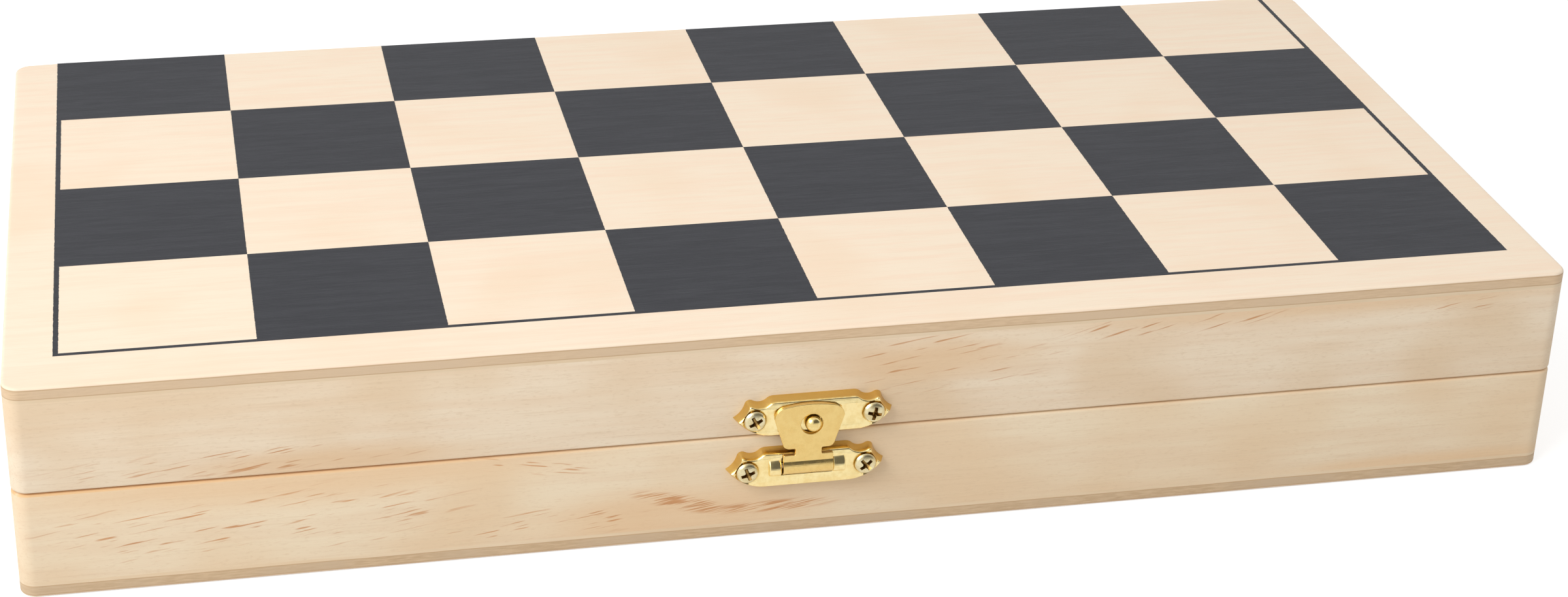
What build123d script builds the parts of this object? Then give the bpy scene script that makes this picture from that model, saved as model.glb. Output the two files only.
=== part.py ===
from build123d import *
import math
import os

# A folding chess board: two shallow wooden trays that close to a box. The outer faces of the two
# panels are the two halves of the playing board. Millimetres. X runs left to right, Y front to
# back and Z up. The origin is the centre of the face that the closed box stands on.

# Wooden trays
board_length = 290.0
board_depth = 145.0
rail_height = 18.0
rail_thick = 8.0
panel_thick = 3.0
parting_gap = 0.3
corner_radius = 5.0
panel_arris = 1.0
rim_arris = 0.5

# Printed squares, let into the panels as a film that is flush with the veneer
square = 34.0
columns = 8
rows = 4
left_margin = 10.1
front_margin = 12.2
film_thick = 0.1
frame_line = 0.95
frame_outset = 1.4
frame_right_outset = 0.2
square_split = 0.03

# Butt hinges, mortised into the back rails
hinge_inset = 55.0
hinge_length = 25.0
hinge_knuckles = 3
hinge_sheet = 0.5
hinge_leaf_width = 6.6
hinge_pin_radius = 0.75
hinge_knuckle_gap = 0.15
hinge_screws = 2
hinge_screw_spacing = 14.0
hinge_screw_inset = 2.3
back_gap = 0.15

# Pressed sheet of the latch plates
plate_length = 29.8
plate_height = 8.0
plate_rise = 2.0
plate_sheet = 0.5
plate_flare = 0.8
foot_run = 7.3
foot_bow = (2.7, 1.3)
keeper_x = -1.9
keeper_foot = 0.25
latch_x = -3.1
latch_plate_top = -2.45
plate_screw_spacing = 22.2
plate_screw_height = 3.9
dimple_radius = 2.3
dimple_depth = 0.9
ear_wall = 0.4

# Points of an ear's edge, each as far back from its tip and down from the plate's top. Four arcs
# follow one another: flank, lobe, scallop and shoulder.
flank_middle = (1.4, 2.8)
flank_end = (2.1, 1.4)
lobe_top = (2.7, 0.65)
lobe_end = (3.6, 0.75)
scallop_low = (4.9, 1.05)
scallop_end = (6.3, 0.35)
shoulder_middle = (6.9, 0.08)
shoulder_end = (7.5, 0.0)

# Latch tongue, its roll and pin
tongue_sheet = 0.75
tongue_lift = 0.35
tongue_head_width = 13.1
tongue_head_top = 7.5
tongue_crown_width = 10.2
tongue_crown_drop = 0.6
tongue_cheek_drop = 2.7
tongue_shoulder = -1.65
tongue_shoulder_width = 7.3
tongue_corner_width = 9.7
tongue_corner_rise = 1.0
tongue_bulge = 0.12
tongue_neck_width = 4.9
tongue_roll_length = 9.3
tongue_hole_radius = 2.05
tongue_hole_x = -2.65
tongue_hole_height = 3.3
tongue_seam = 0.2
latch_pin_radius = 0.65
latch_axis_height = -5.69
strap_width = 2.35
strap_wall = 0.55
window_gap = 0.3

# Stud on the keeper plate
stud_x = -2.4
stud_height = 3.46
stud_radius = 1.45
stud_collar = 1.3
stud_bevel = 1.1
stud_end_radius = 0.65
stud_shank_radius = 1.1
stud_tail_radius = 1.9
stud_tail = 0.5

# Screws
latch_screw_head_radius = 2.0
latch_screw_shank_radius = 1.1
latch_screw_length = 8.0
hinge_screw_shank_radius = 1.1
hinge_screw_length = 8.0

# Clearances
running_gap = 0.05
side_gap = 0.15
seat_gap = 0.03
mortise_gap = 0.1
relief_gap = 0.25

# Places worked out from the values above
half_height = panel_thick + rail_height
closed_height = 2 * half_height + parting_gap
parting_height = closed_height / 2
front_face = -board_depth / 2
back_face = board_depth / 2
left_face = -board_length / 2
film_left = left_face + left_margin
film_front = front_face + front_margin
hinge_axis_y = back_face + back_gap
hinge_screw_head_radius = hinge_screw_shank_radius + hinge_sheet
hinge_knuckle_radius = hinge_pin_radius + running_gap + hinge_sheet
roll_inner = latch_pin_radius + running_gap
roll_outer = roll_inner + tongue_sheet
strap_outer = roll_inner + strap_wall
tongue_back = plate_rise + tongue_lift
roll_centre = tongue_back + tongue_sheet - roll_outer
latch_plate_foot = latch_plate_top - plate_height
over = 1.0

# The latch is drawn on the front face: local X to the right, local Y up from the parting line,
# local Z out of the wood.
front = Plane(origin=(0, front_face, parting_height), x_dir=(1, 0, 0), z_dir=(0, -1, 0))

# The lid tray is the base tray turned upside down about this plane, front still in front.
parting = Plane(origin=(0, 0, parting_height), x_dir=(1, 0, 0), z_dir=(0, 0, 1))


def block(x, y, z):
    """A box between three pairs of limits."""
    size = (x[1] - x[0], y[1] - y[0], z[1] - z[0])
    corner = Pos(x[0], y[0], z[0])
    return corner * Box(*size, align=(Align.MIN, Align.MIN, Align.MIN))


def rod(radius, x, y, z):
    """A cylinder along X between two limits."""
    return Pos(x[0], y, z) * Rot(0, 90, 0) * Cylinder(
        radius, x[1] - x[0], align=(Align.CENTER, Align.CENTER, Align.MIN)
    )


def above(shape):
    """The same shape on the other side of the parting plane."""
    return mirror(shape, about=parting)


# Wooden trays, drawn as the base and mirrored for the lid


def tray_rails():
    """Four rails cut from one rounded ring, with the rim's outer arris sanded off."""
    outline = RectangleRounded(board_length, board_depth, corner_radius)
    ring = Pos(0, 0, panel_thick) * extrude(outline, rail_height)
    rim = ring.faces().sort_by(Axis.Z)[-1]
    ring = chamfer(rim.edges(), rim_arris)
    inner_x = board_length / 2 - rail_thick
    inner_y = board_depth / 2 - rail_thick
    tall = (0, closed_height)
    wide = (-board_length, board_length)
    deep = (-inner_y, inner_y)
    return {
        "front_rail": ring & block(wide, (-board_depth, -inner_y), tall),
        "back_rail": ring & block(wide, (inner_y, board_depth), tall),
        "left_rail": ring & block((-board_length, -inner_x), deep, tall),
        "right_rail": ring & block((inner_x, board_length), deep, tall),
    }


def film_area(dark_first):
    """The printed squares and frame line as prisms through the panel's outer skin."""
    skin = (-over, film_thick)
    x_lines = [film_left + square * i for i in range(columns + 1)]
    y_lines = [film_front + square * i for i in range(rows)] + [back_face + over]
    frame_left = x_lines[0] - frame_outset
    frame_right = x_lines[-1] + frame_right_outset
    frame_front = y_lines[0] - frame_outset + frame_right_outset
    area = block((frame_left, frame_left + frame_line), (frame_front, back_face + over), skin)
    area += block((frame_right - frame_line, frame_right), (frame_front, back_face + over), skin)
    area += block((frame_left, frame_right), (frame_front, frame_front + frame_line), skin)
    for row in range(rows):
        for column in range(columns):
            if (row + column) % 2 != (0 if dark_first else 1):
                continue
            x0 = frame_left if column == 0 else x_lines[column] + square_split
            x1 = frame_right if column == columns - 1 else x_lines[column + 1] - square_split
            y0 = frame_front if row == 0 else y_lines[row] + square_split
            y1 = y_lines[row + 1] - (0 if row == rows - 1 else square_split)
            area += block((x0, x1), (y0, y1), skin)
    return area


def panel_and_film(dark_first):
    """A plywood panel with its outer arris sanded off, and the film printed on its outer face."""
    outline = RectangleRounded(board_length, board_depth, corner_radius)
    blank = extrude(outline, panel_thick)
    outer_face = blank.faces().sort_by(Axis.Z)[0]
    blank = chamfer(outer_face.edges(), panel_arris)
    area = film_area(dark_first)
    return blank - area, blank & area


# Screws, drawn with the head's face at the origin and the shank down local Z


def wood_screw(head_radius, shank_radius, length):
    """A countersunk wood screw without its thread and recess."""
    cone = head_radius - shank_radius
    profile = [
        (0, 0),
        (0, -length),
        (shank_radius, -length),
        (shank_radius, -cone),
        (head_radius, 0),
        (0, 0),
    ]
    return revolve(Plane.XZ * make_face(Polyline(*profile)), Axis.Z)


def pilot_hole(shank_radius, length):
    """The hole that a wood screw's shank fills."""
    return Cylinder(
        shank_radius + seat_gap, length + over, align=(Align.CENTER, Align.CENTER, Align.MAX)
    )


# Butt hinges


def hinge_screw_places(x):
    """Where the screws of one leaf stand, on the rim of the base tray."""
    y = hinge_axis_y - hinge_leaf_width + hinge_screw_inset
    first = x - hinge_screw_spacing * (hinge_screws - 1) / 2
    return [Pos(first + hinge_screw_spacing * i, y, half_height) for i in range(hinge_screws)]


def knuckle_spans(x):
    """The knuckles' limits along the pin, from left to right."""
    pitch = (hinge_length + hinge_knuckle_gap) / hinge_knuckles
    start = x - hinge_length / 2
    return [
        (start + pitch * i, start + pitch * (i + 1) - hinge_knuckle_gap)
        for i in range(hinge_knuckles)
    ]


def hinge_leaf(x, first_knuckle):
    """A leaf in its mortise on the base, curled round the pin at every second knuckle."""
    reach = hinge_axis_y - hinge_knuckle_radius - relief_gap
    level = (half_height - hinge_sheet, half_height)
    length = (x - hinge_length / 2, x + hinge_length / 2)
    leaf = block(length, (hinge_axis_y - hinge_leaf_width, reach), level)
    for span in knuckle_spans(x)[first_knuckle::2]:
        leaf += block(span, (reach, hinge_axis_y), level)
        leaf += rod(hinge_knuckle_radius, span, hinge_axis_y, parting_height)
    leaf -= rod(hinge_pin_radius + running_gap, length, hinge_axis_y, parting_height)
    for place in hinge_screw_places(x):
        leaf -= place * Cone(
            hinge_screw_shank_radius + seat_gap,
            hinge_screw_head_radius + seat_gap,
            hinge_sheet,
            align=(Align.CENTER, Align.CENTER, Align.MAX),
        )
    return leaf


def hinge_pin(x):
    """The plain pin through all the knuckles."""
    return rod(
        hinge_pin_radius, (x - hinge_length / 2, x + hinge_length / 2), hinge_axis_y, parting_height
    )


def hinge_cuts(x):
    """What is cut out of the base's back rail for one hinge: mortise, knuckle relief, pilot holes."""
    length = (x - hinge_length / 2 - relief_gap, x + hinge_length / 2 + relief_gap)
    leaf_edge = hinge_axis_y - hinge_leaf_width - mortise_gap
    mortise = block(length, (leaf_edge, back_face + over), (half_height - hinge_sheet, half_height + over))
    relief = rod(hinge_knuckle_radius + relief_gap, length, hinge_axis_y, parting_height)
    cuts = [mortise, relief]
    for place in hinge_screw_places(x):
        cuts.append(place * pilot_hole(hinge_screw_shank_radius, hinge_screw_length))
    return cuts


# Latch plates


def closed_face(half):
    """The face inside a half outline and its mirror image about the local Y axis."""
    edges = half + [mirror(edge, about=Plane.YZ) for edge in half]
    return make_face(Wire([edge for part in edges for edge in part.edges()]))


def ear_point(point):
    """A point of the right ear's edge, measured from the middle of the plate's foot."""
    return (plate_length / 2 - point[0], plate_height - point[1])


def plate_outline():
    """The stamped outline: straight top, scalloped and pointed ears, boat-shaped foot."""
    tip = (plate_length / 2, plate_height / 2)
    foot_end = (plate_length / 2 - foot_run, 0)
    bow = (plate_length / 2 - foot_bow[0], foot_bow[1])
    flank = ear_point(flank_end)
    cusp = ear_point(lobe_end)
    shoulder = ear_point(scallop_end)
    top = ear_point(shoulder_end)
    half = [
        Line((0, 0), foot_end),
        ThreePointArc(foot_end, bow, tip),
        ThreePointArc(tip, ear_point(flank_middle), flank),
        ThreePointArc(flank, ear_point(lobe_top), cusp),
        ThreePointArc(cusp, ear_point(scallop_low), shoulder),
        ThreePointArc(shoulder, ear_point(shoulder_middle), top),
        Line(top, (0, plate_height)),
    ]
    return closed_face(half)


def pressed_plate():
    """A scalloped tray of sheet, hollow behind its face, with a dish for each screw in its ears."""
    slope = math.degrees(math.atan(plate_flare / plate_rise))
    plate = extrude(plate_outline(), plate_rise, taper=slope)
    side_wall = plate_sheet + plate_flare
    reach = plate_screw_spacing / 2 - dimple_radius - ear_wall
    plate -= block(
        (-reach, reach), (side_wall, plate_height - side_wall), (-over, plate_rise - plate_sheet)
    )
    low_radius = latch_screw_shank_radius + relief_gap
    dish = Pos(0, 0, plate_rise - dimple_depth) * Cone(
        low_radius, dimple_radius, dimple_depth, align=(Align.CENTER, Align.CENTER, Align.MIN)
    )
    for place in plate_screw_places():
        plate -= place * dish
        plate -= place * Cylinder(low_radius, 2 * plate_rise)
    return plate


def plate_screw_places():
    """The two screw holes of a plate, measured from its foot line."""
    return [
        Pos(side * plate_screw_spacing / 2, plate_screw_height, 0) for side in (-1, 1)
    ]


def keeper_plate():
    """The plate on the lid, pierced for the stud."""
    plate = Pos(keeper_x, keeper_foot, 0) * pressed_plate()
    plate -= Pos(stud_x, stud_height, 0) * Cylinder(stud_shank_radius + seat_gap, 3 * plate_rise)
    return plate


def keeper_stud():
    """A riveted stud: tail behind the plate, collar in front, bevelled end."""
    face = plate_rise
    collar_top = face + stud_collar
    profile = [
        (0, face - plate_sheet - stud_tail),
        (stud_tail_radius, face - plate_sheet - stud_tail),
        (stud_tail_radius, face - plate_sheet),
        (stud_shank_radius, face - plate_sheet),
        (stud_shank_radius, face),
        (stud_radius, face),
        (stud_radius, collar_top),
        (stud_end_radius, collar_top + stud_bevel),
        (0, collar_top + stud_bevel),
        (0, face - plate_sheet - stud_tail),
    ]
    stud = revolve(Plane.XZ * make_face(Polyline(*profile)), Axis.Z)
    return Pos(stud_x, stud_height, 0) * stud


def base_plate():
    """The plate on the base, with a window for the roll and a lanced strap each side of it."""
    plate = Pos(latch_x, latch_plate_foot, 0) * pressed_plate()
    window = tongue_roll_length / 2 + side_gap
    sheet_back = plate_rise - plate_sheet
    for side in (-1, 1):
        span = sorted((latch_x + side * window, latch_x + side * (window + strap_width)))
        strap = rod(strap_outer, span, latch_axis_height, roll_centre)
        strap &= block(
            (span[0], span[1]),
            (latch_plate_foot, latch_plate_top),
            (sheet_back, plate_rise + plate_rise),
        )
        plate += strap
        plate -= rod(roll_inner, span, latch_axis_height, roll_centre)
    plate -= block(
        (latch_x - window, latch_x + window),
        (latch_axis_height - roll_outer - window_gap, latch_axis_height + roll_outer + side_gap),
        (-over, plate_rise + plate_rise),
    )
    return plate


def tongue_outline():
    """The head with its arched top and tapering sides, and the neck down to the roll."""
    top = tongue_head_top
    foot = (tongue_neck_width / 2, latch_axis_height)
    neck = (tongue_neck_width / 2, tongue_shoulder)
    shoulder = (tongue_shoulder_width / 2, tongue_shoulder)
    corner = (tongue_corner_width / 2, tongue_shoulder + tongue_corner_rise)
    cheek = (tongue_head_width / 2, top - tongue_cheek_drop)
    crown = (tongue_crown_width / 2, top - tongue_crown_drop)
    crown_middle = (crown[0] / 2, top - tongue_crown_drop / 4)
    half = [
        ThreePointArc((0, top), crown_middle, crown),
        ThreePointArc(crown, bulge_point(cheek, crown), cheek),
        Line(cheek, corner),
        ThreePointArc(corner, bulge_point(shoulder, corner), shoulder),
        Line(shoulder, neck),
        Line(neck, foot),
        Line(foot, (0, latch_axis_height)),
    ]
    return closed_face(half)


def bulge_point(a, b):
    """A point a little to the right of the line from a to b, at its middle."""
    run = (b[0] - a[0], b[1] - a[1])
    share = tongue_bulge
    return ((a[0] + b[0]) / 2 + share * run[1], (a[1] + b[1]) / 2 - share * run[0])


def latch_tongue():
    """Flat blade with its foot rolled round the pin, open at the seam behind the neck."""
    blade = Pos(latch_x, 0, tongue_back) * extrude(tongue_outline(), tongue_sheet)
    blade -= Pos(tongue_hole_x, tongue_hole_height, tongue_back) * Cylinder(
        tongue_hole_radius, 4 * tongue_sheet
    )
    length = (latch_x - tongue_roll_length / 2, latch_x + tongue_roll_length / 2)
    tongue = blade + rod(roll_outer, length, latch_axis_height, roll_centre)
    tongue -= rod(roll_inner, length, latch_axis_height, roll_centre)
    tongue -= block(
        length,
        (latch_axis_height + roll_inner / 2, latch_axis_height + roll_outer + over),
        (tongue_back - tongue_seam, tongue_back),
    )
    return tongue


def latch_pin():
    """The pin inside the roll, held down by the two straps."""
    reach = tongue_roll_length / 2 + side_gap + strap_width - seat_gap
    return rod(latch_pin_radius, (latch_x - reach, latch_x + reach), latch_axis_height, roll_centre)


def plate_screws(x, foot):
    """The two screws of a plate, their heads bedded in the dimples."""
    screw = wood_screw(latch_screw_head_radius, latch_screw_shank_radius, latch_screw_length)
    return [Pos(x, foot, plate_screw_rim()) * place * screw for place in plate_screw_places()]


def plate_screw_rim():
    """How far out of the wood a head's rim lies when its cone beds in the dimple."""
    low_radius = latch_screw_shank_radius + relief_gap
    slope = dimple_depth / (dimple_radius - low_radius)
    return plate_rise - (dimple_radius - latch_screw_head_radius) * slope + seat_gap


def plate_pilots(x, foot):
    """Pilot holes in the front rail behind a plate."""
    deep = latch_screw_length - plate_screw_rim()
    hole = pilot_hole(latch_screw_shank_radius, deep)
    return [Pos(x, foot, 0) * place * hole for place in plate_screw_places()]


# Assembly

nodes = {}

base_rails = tray_rails()
lid_rails = {name: above(rail) for name, rail in base_rails.items()}

hinge_sides = {"left": hinge_inset - board_length / 2, "right": board_length / 2 - hinge_inset}
for side, x in hinge_sides.items():
    for cut in hinge_cuts(x):
        base_rails["back_rail"] -= cut
        lid_rails["back_rail"] -= above(cut)
    nodes[f"hinge_{side}_lower_leaf"] = hinge_leaf(x, 0)
    nodes[f"hinge_{side}_upper_leaf"] = above(hinge_leaf(x, 1))
    nodes[f"hinge_{side}_pin"] = hinge_pin(x)

for cut in plate_pilots(latch_x, latch_plate_foot):
    base_rails["front_rail"] -= front * cut
for cut in plate_pilots(keeper_x, keeper_foot):
    lid_rails["front_rail"] -= front * cut

for name, rail in base_rails.items():
    nodes[f"lower_{name}"] = rail
for name, rail in lid_rails.items():
    nodes[f"upper_{name}"] = rail

nodes["lower_panel"], nodes["lower_print"] = panel_and_film(dark_first=True)
lid_panel, lid_print = panel_and_film(dark_first=False)
nodes["upper_panel"], nodes["upper_print"] = above(lid_panel), above(lid_print)

leaf_screw = wood_screw(hinge_screw_head_radius, hinge_screw_shank_radius, hinge_screw_length)
leaf_screws = [place * leaf_screw for x in hinge_sides.values() for place in hinge_screw_places(x)]
nodes["hinge_lower_screws"] = Compound(children=leaf_screws)
nodes["hinge_upper_screws"] = Compound(children=[above(screw) for screw in leaf_screws])

nodes["keeper_plate"] = front * keeper_plate()
nodes["keeper_stud"] = front * keeper_stud()
nodes["latch_base_plate"] = front * base_plate()
nodes["latch_tongue"] = front * latch_tongue()
nodes["latch_pin"] = front * latch_pin()
nodes["keeper_screws"] = Compound(
    children=[front * screw for screw in plate_screws(keeper_x, keeper_foot)]
)
nodes["latch_base_screws"] = Compound(
    children=[front * screw for screw in plate_screws(latch_x, latch_plate_foot)]
)

os.makedirs("parts", exist_ok=True)
for name, shape in nodes.items():
    export_step(shape, f"parts/{name}.step")
    print(name, len(shape.solids()), "solid(s)", round(sum(s.volume for s in shape.solids()), 1))
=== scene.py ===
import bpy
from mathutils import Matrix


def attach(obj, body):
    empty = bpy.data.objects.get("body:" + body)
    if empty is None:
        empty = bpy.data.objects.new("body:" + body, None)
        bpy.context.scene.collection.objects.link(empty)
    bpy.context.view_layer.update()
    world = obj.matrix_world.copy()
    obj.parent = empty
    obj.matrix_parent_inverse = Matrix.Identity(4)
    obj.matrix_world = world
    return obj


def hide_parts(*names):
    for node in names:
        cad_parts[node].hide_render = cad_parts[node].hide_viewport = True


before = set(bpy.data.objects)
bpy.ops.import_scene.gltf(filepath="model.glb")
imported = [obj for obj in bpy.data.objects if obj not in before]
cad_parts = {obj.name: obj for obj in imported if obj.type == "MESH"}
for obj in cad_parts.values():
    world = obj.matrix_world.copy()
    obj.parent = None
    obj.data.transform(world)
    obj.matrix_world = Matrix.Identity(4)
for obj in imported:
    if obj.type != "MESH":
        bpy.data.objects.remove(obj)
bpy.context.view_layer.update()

# %% [markdown]
# ## Units and small helpers
#
# Lengths are given in millimetres, and a factor turns them into Blender's metres. Blender's own
# operators do the modelling, as by hand. They act on all that is selected, so each helper starts
# by clearing the selection.
# %% Units and selection helpers
import math

import bmesh
import bpy
from mathutils import Matrix, Vector

MM = 0.001
BOARD = Vector((290, 145, 42.3))
SIDE = BOARD / 2
ALL_X = (-SIDE.x, SIDE.x)
ALL_Y = (-SIDE.y, SIDE.y)
CLOSE = 0.01 * MM
DOUBLE = 1e-7


def mm(x, y, z):
    """A point given in millimetres."""
    return Vector((x, y, z)) * MM


def object_mode():
    if bpy.context.object and bpy.context.object.mode != "OBJECT":
        bpy.ops.object.mode_set(mode="OBJECT")


def clear():
    """Leaves edit mode with nothing selected."""
    object_mode()
    bpy.ops.object.select_all(action="DESELECT")


def only(piece):
    """Makes a piece the one selected and active object."""
    clear()
    piece.select_set(True)
    bpy.context.view_layer.objects.active = piece


def pick(piece, kind, wanted=None):
    """Opens a piece in edit mode with all of it selected, or just the parts that wanted() accepts."""
    only(piece)
    bpy.ops.object.mode_set(mode="EDIT")
    bpy.ops.mesh.select_mode(type=kind)
    bpy.ops.mesh.select_all(action="DESELECT" if wanted else "SELECT")
    if wanted:
        mesh = bmesh.from_edit_mesh(piece.data)
        parts = mesh.edges if kind == "EDGE" else mesh.faces
        for part in [part for part in parts if wanted(part)]:
            part.select_set(True)
        bmesh.update_edit_mesh(piece.data)


def apply_modifier(piece, kind, **settings):
    """Adds a modifier with its settings and applies it at once."""
    only(piece)
    modifier = piece.modifiers.new(kind.title(), kind)
    for name, value in settings.items():
        setattr(modifier, name, value)
    bpy.ops.object.modifier_apply(modifier=modifier.name)


def settle(name):
    """Names the object that was just added and puts its place into its mesh."""
    piece = bpy.context.object
    piece.name = name
    bpy.ops.object.transform_apply(location=True, rotation=True, scale=True)
    return piece


def add_block(name, x, y, z):
    """A box between pairs of limits in millimetres."""
    low, high = (mm(*corner) for corner in zip(*map(sorted, (x, y, z))))
    clear()
    bpy.ops.mesh.primitive_cube_add(size=1, location=(low + high) / 2, scale=high - low)
    return settle(name)


def add_rod(name, radius, low, high, sides=64):
    """A cylinder between two points on a line along X, Y or Z, with its radius in millimetres."""
    axis = high - low
    turn = Vector((0, 0, 1)).rotation_difference(axis).to_euler()
    middle = (low + high) / 2
    clear()
    bpy.ops.mesh.primitive_cylinder_add(
        vertices=sides, radius=radius * MM, depth=axis.length, location=middle, rotation=turn
    )
    return settle(name)


def add_cone(name, sides, low, high, depth, place, turn=(0, 0, 0)):
    """A blunt cone with its radii at both ends and its depth in millimetres."""
    size = {"radius1": low * MM, "radius2": high * MM, "depth": depth * MM}
    clear()
    bpy.ops.mesh.primitive_cone_add(vertices=sides, location=place, rotation=turn, **size)
    return settle(name)


def combine(piece, other, operation):
    """Adds another piece's room or takes it away, and throws that piece away."""
    apply_modifier(piece, "BOOLEAN", object=other, operation=operation, solver="MANIFOLD")
    bpy.data.objects.remove(other)


def cut(piece, cutter):
    combine(piece, cutter, "DIFFERENCE")


def join(name, pieces):
    """Joins several meshes into one piece."""
    only(pieces[0])
    for piece in pieces:
        piece.select_set(True)
    bpy.ops.object.join()
    pieces[0].name = name
    return pieces[0]


def triangles(piece):
    return sum(len(face.vertices) - 2 for face in piece.data.polygons)


print("helpers ready")

# %% [markdown]
# ## The camera of the photograph
#
# The lens, the place and the turn of the camera were worked out from the grid of squares. The
# picture is a part cut out of a larger one, so the lens is shifted.
# %% Camera
camera_place = mm(-113.68, -525.47, 288.40)
camera_right = Vector((0.97930501, -0.20095978, 0.02401785))
camera_down = Vector((-0.06554265, -0.42717645, -0.90178958))
camera_forward = Vector((0.1914833, 0.88155286, -0.43150748))

camera_data = bpy.data.cameras.new("camera")
camera_data.sensor_width = 36.0
camera_data.lens = 67.107
camera_data.shift_x = 0.02404
camera_data.shift_y = -0.05505
camera_data.clip_start = 0.01
camera = bpy.data.objects.new("camera", camera_data)
bpy.context.collection.objects.link(camera)
turn = Matrix((camera_right, -camera_down, -camera_forward)).transposed()
camera.matrix_world = Matrix.Translation(camera_place) @ turn.to_4x4()
bpy.context.scene.camera = camera
bpy.context.scene.view_settings.view_transform = "Standard"
print("camera at", [round(value, 4) for value in camera_place])

# %% [markdown]
# ## Helpers for materials
#
# A material is a tree of nodes. These helpers add a node, fill or link its inputs, and give back
# the output that the next node needs. Effects that materials share become node groups.
# %% Node helpers
def paint(red, green, blue):
    """A colour as it looks on screen, 0 to 255, in the linear values that Blender's sockets hold."""
    return tuple(((value / 255 + 0.055) / 1.055) ** 2.4 for value in (red, green, blue)) + (1.0,)


def add_node(tree, kind, inputs=None, **properties):
    """Adds a shader node, sets its properties, and fills or links its inputs."""
    node = tree.nodes.new("ShaderNode" + kind)
    for name, value in properties.items():
        setattr(node, name, value)
    for name, value in (inputs or {}).items():
        if isinstance(value, bpy.types.NodeSocket):
            tree.links.new(value, node.inputs[name])
        else:
            node.inputs[name].default_value = value
    return node


def calc(tree, operation, *values):
    """One Math node, given numbers or sockets."""
    return add_node(tree, "Math", dict(enumerate(values)), operation=operation).outputs[0]


def vector(tree, operation, *values):
    """One Vector Math node; a length comes out as a number."""
    node = add_node(tree, "VectorMath", dict(enumerate(values)), operation=operation)
    return node.outputs["Value" if operation == "LENGTH" else "Vector"]


def split(tree, place):
    """The x, y and z of a place."""
    return add_node(tree, "SeparateXYZ", {0: place}).outputs


def colours(tree, factor, first, second):
    """Mixes two colours."""
    return add_node(tree, "Mix", {0: factor, 6: first, 7: second}, data_type="RGBA").outputs[2]


def span(tree, value, low, high, to_low=0.0, to_high=1.0, kind="SMOOTHSTEP"):
    """Maps one range of values onto another."""
    inputs = {0: value, 1: low, 2: high, 3: to_low, 4: to_high}
    return add_node(tree, "MapRange", inputs, interpolation_type=kind).outputs[0]


def object_place(tree):
    """Where a point is on the object, in metres."""
    return add_node(tree, "TexCoord").outputs["Object"]


def stretched(tree, place, size, turn=(0, 0, 0), centre=(0, 0, 0)):
    """Coordinates counted in steps of a size, turned about a centre."""
    inputs = {"Vector": place, "Location": centre, "Rotation": turn, "Scale": size}
    return add_node(tree, "Mapping", inputs, vector_type="TEXTURE").outputs[0]


def noise(tree, place, scale=1.0, detail=2.0, roughness=0.5):
    """A Noise Texture's plain value."""
    inputs = {"Vector": place, "Scale": scale, "Detail": detail, "Roughness": roughness}
    return add_node(tree, "TexNoise", inputs).outputs[0]


def new_group(name, **inputs):
    """An empty node group; gives back its tree and its inputs as seen inside it."""
    tree = bpy.data.node_groups.new(name, "ShaderNodeTree")
    for label, kind in inputs.items():
        tree.interface.new_socket(label, in_out="INPUT", socket_type="NodeSocket" + kind)
    return tree, tree.nodes.new("NodeGroupInput").outputs


def finish_group(tree, **values):
    """Gives a group an output for each value that it works out."""
    for label in values:
        tree.interface.new_socket(label, in_out="OUTPUT", socket_type="NodeSocketFloat")
    outputs = tree.nodes.new("NodeGroupOutput").inputs
    for label, value in values.items():
        tree.links.new(value, outputs[label])
    print("group", tree.name)
    return tree


def use_group(tree, group, **inputs):
    """Places a node group in a material and fills or links its inputs."""
    return add_node(tree, "Group", inputs, node_tree=group).outputs


def new_material(name, **plain):
    """A material with one Principled shader, whose uniform values are set on its own sockets."""
    material = bpy.data.materials.new(name)
    material.use_nodes = True
    tree = material.node_tree
    shader = tree.nodes["Principled BSDF"]
    for label, value in plain.items():
        shader.inputs[label.replace("_", " ")].default_value = value
    return material, tree, shader


def cover(tree, shader, height, distance, **values):
    """Gives a shader a bump from a height, its distance in metres, and links its other values."""
    bump = add_node(tree, "Bump", {"Height": height, "Distance": distance})
    for label, value in {"Normal": bump.outputs[0], **values}.items():
        tree.links.new(value, shader.inputs[label.replace("_", " ")])


print("node helpers ready")

# %% [markdown]
# ## Wood fibre as a node group
#
# Wood is stringy along its grain: long thin hairs, with wider and softer bands behind them. Both
# are noise whose steps are long along X and short across it. The function after the group mixes a
# wood's tones by it.
# %% Wood fibre group
BAND_SHAPE = (0.4, 0.18, 0.18)
BANDS = (0.35, 0.7)
CLOUD_SCALE = 38.0
tree, inside = new_group("wood fibre", Place="Vector", Length="Float", Width="Float")
lengths = {0: inside["Length"], 1: inside["Width"], 2: inside["Width"]}
hair_place = vector(tree, "DIVIDE", inside["Place"], add_node(tree, "CombineXYZ", lengths).outputs[0])
band_place = vector(tree, "MULTIPLY", hair_place, BAND_SHAPE)
fibre_group = finish_group(
    tree,
    Hair=noise(tree, hair_place, detail=3.0, roughness=0.6),
    Band=noise(tree, band_place),
    Cloud=noise(tree, inside["Place"], scale=CLOUD_SCALE, detail=1.0),
)


def fibrous(tree, fibre, pale, shade, hair, hairs, cloud=None, clouds=()):
    """Wood in bands of two tones, with soft clouds of a third tone and hairs of a fourth."""
    tone = colours(tree, span(tree, fibre["Band"], *BANDS), pale, shade)
    if cloud:
        tone = colours(tree, span(tree, fibre["Cloud"], *clouds), tone, cloud)
    return colours(tree, span(tree, fibre["Hair"], *hairs), tone, hair)


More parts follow.
